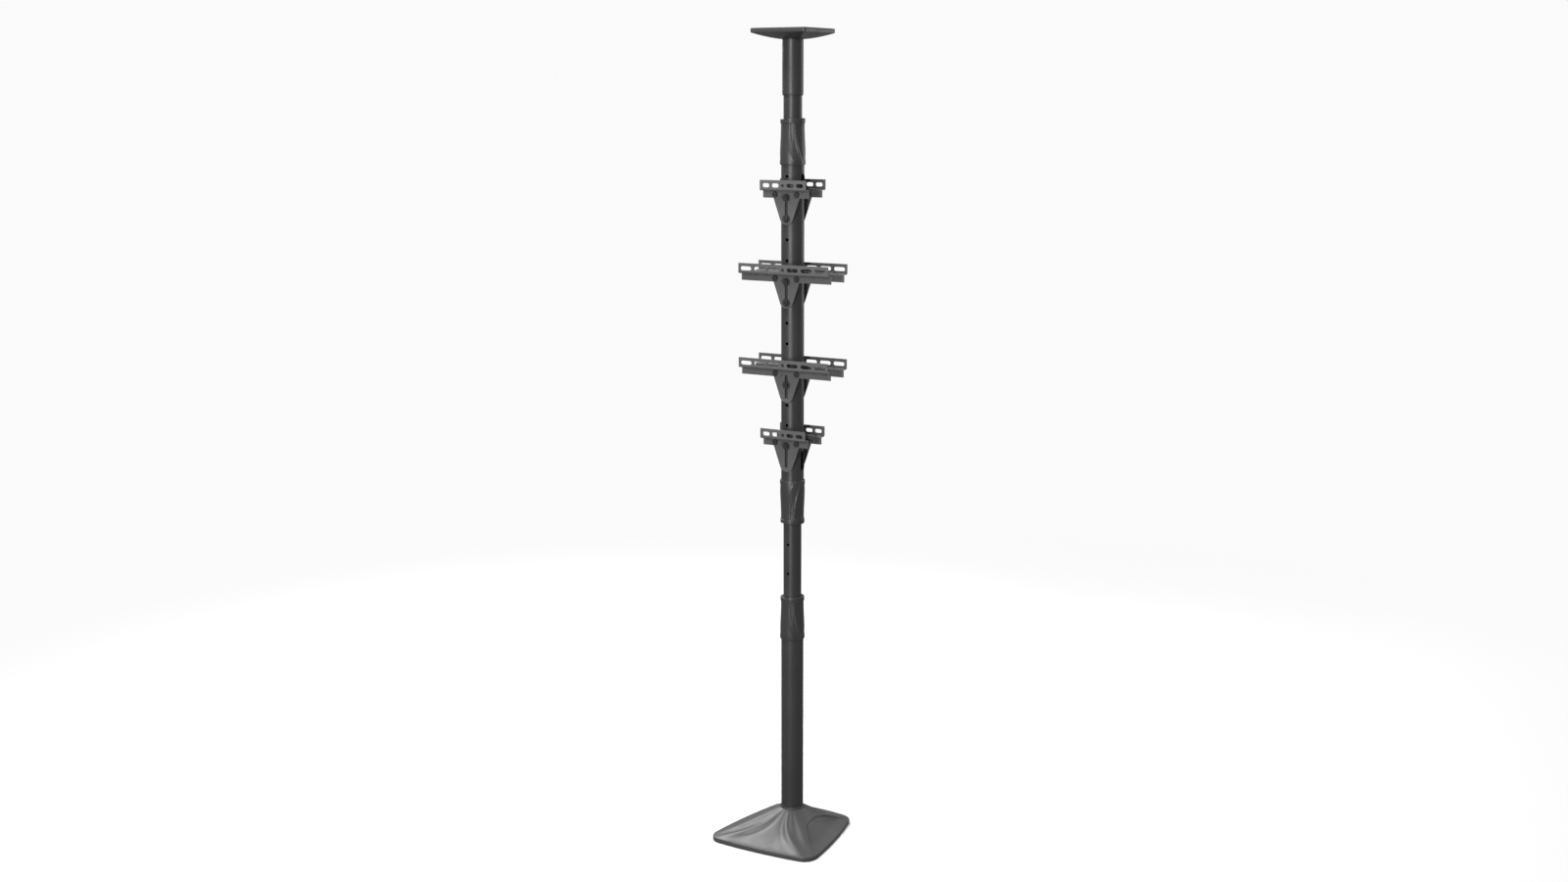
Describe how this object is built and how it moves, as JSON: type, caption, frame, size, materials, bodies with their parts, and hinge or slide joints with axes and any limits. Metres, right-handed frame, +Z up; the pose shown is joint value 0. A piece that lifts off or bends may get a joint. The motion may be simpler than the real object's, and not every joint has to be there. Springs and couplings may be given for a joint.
{
  "type": "ev charging post",
  "caption": "Telescopic floor-to-ceiling post of round steel tubes with slotted rails front and rear that hold wall-type EV chargers.",
  "frame": {"origin": "on the floor, on the axis of the tubes, at the underside of the base pad", "axes": "+Z up along the tubes, -Y to the front, the base's wide side, +X to the side with the cable openings"},
  "size_m": [0.3161, 0.336, 2.152],
  "materials": {
    "post_steel": "fine matt powder coat",
    "bracket_steel": "matt powder coat",
    "plate_steel": "matt powder coat",
    "shell_plastic": "satin moulded",
    "cover_plastic": "satin moulded",
    "bush_plastic": "smooth",
    "pad_rubber": "matt",
    "fastener_steel": "black zinc"
  },
  "bodies": {
    "base": {"base_pad": "pad_rubber", "base_plate": "plate_steel", "base_spigot": "plate_steel", "base_cover": "cover_plastic", "neck_ring": "shell_plastic", "spigot_screws": "fastener_steel", "lower_tube": "post_steel", "lower_collar_left": "shell_plastic", "lower_collar_right": "shell_plastic", "lower_bush": "bush_plastic", "lower_lock_screw": "fastener_steel"},
    "riser": {"riser_tube": "post_steel", "riser_foot_bush": "bush_plastic"},
    "column": {"column_tube": "post_steel", "middle_collar_left": "shell_plastic", "middle_collar_right": "shell_plastic", "top_collar_left": "shell_plastic", "top_collar_right": "shell_plastic", "middle_bush": "bush_plastic", "top_bush": "bush_plastic", "column_lock_screws": "fastener_steel", "cable_grommets": "pad_rubber", "bracket_bolts": "fastener_steel", "bracket_washers": "fastener_steel", "bracket_nuts": "fastener_steel", "bracket_1_front_plate": "bracket_steel", "bracket_1_front_rail": "bracket_steel", "bracket_1_rear_plate": "bracket_steel", "bracket_1_rear_rail": "bracket_steel", "bracket_2_front_plate": "bracket_steel", "bracket_2_front_rail": "bracket_steel", "bracket_2_rear_plate": "bracket_steel", "bracket_2_rear_rail": "bracket_steel", "bracket_1_screws": "fastener_steel", "bracket_2_screws": "fastener_steel"},
    "mast": {"mast_tube": "post_steel"},
    "head": {"ceiling_tube": "post_steel", "ceiling_bush": "bush_plastic", "ceiling_lock_screw": "fastener_steel", "ceiling_plate": "plate_steel", "ceiling_pad": "pad_rubber", "ceiling_cover": "cover_plastic"},
    "bracket_3_front": {"bracket_3_front_plate": "bracket_steel", "bracket_3_front_rail": "bracket_steel", "bracket_3_front_screws": "fastener_steel"},
    "bracket_3_rear": {"bracket_3_rear_plate": "bracket_steel", "bracket_3_rear_rail": "bracket_steel", "bracket_3_rear_screws": "fastener_steel"},
    "bracket_4_front": {"bracket_4_front_plate": "bracket_steel", "bracket_4_front_rail": "bracket_steel", "bracket_4_front_screws": "fastener_steel"},
    "bracket_4_rear": {"bracket_4_rear_plate": "bracket_steel", "bracket_4_rear_rail": "bracket_steel", "bracket_4_rear_screws": "fastener_steel"}
  },
  "joints": [
    {"name": "riser_slide", "type": "slide", "parent": "base", "child": "riser", "axis": [0, 0, 1], "range_m": [0, 0.4]},
    {"name": "column_slide", "type": "slide", "parent": "riser", "child": "column", "axis": [0, 0, 1], "range_m": [-0.06, 0.02]},
    {"name": "mast_slide", "type": "slide", "parent": "column", "child": "mast", "axis": [0, 0, 1], "range_m": [-0.02, 0.02]},
    {"name": "head_slide", "type": "slide", "parent": "mast", "child": "head", "axis": [0, 0, 1], "range_m": [-0.035, 0.06]},
    {"name": "bracket_3_front_slide", "type": "slide", "parent": "column", "child": "bracket_3_front", "axis": [0, 0, 1], "range_m": [-0.022, 0.032]},
    {"name": "bracket_3_rear_slide", "type": "slide", "parent": "column", "child": "bracket_3_rear", "axis": [0, 0, 1], "range_m": [-0.022, 0.032]},
    {"name": "bracket_4_front_slide", "type": "slide", "parent": "column", "child": "bracket_4_front", "axis": [0, 0, 1], "range_m": [0, 0.054]},
    {"name": "bracket_4_rear_slide", "type": "slide", "parent": "column", "child": "bracket_4_rear", "axis": [0, 0, 1], "range_m": [0, 0.054]}
  ]
}
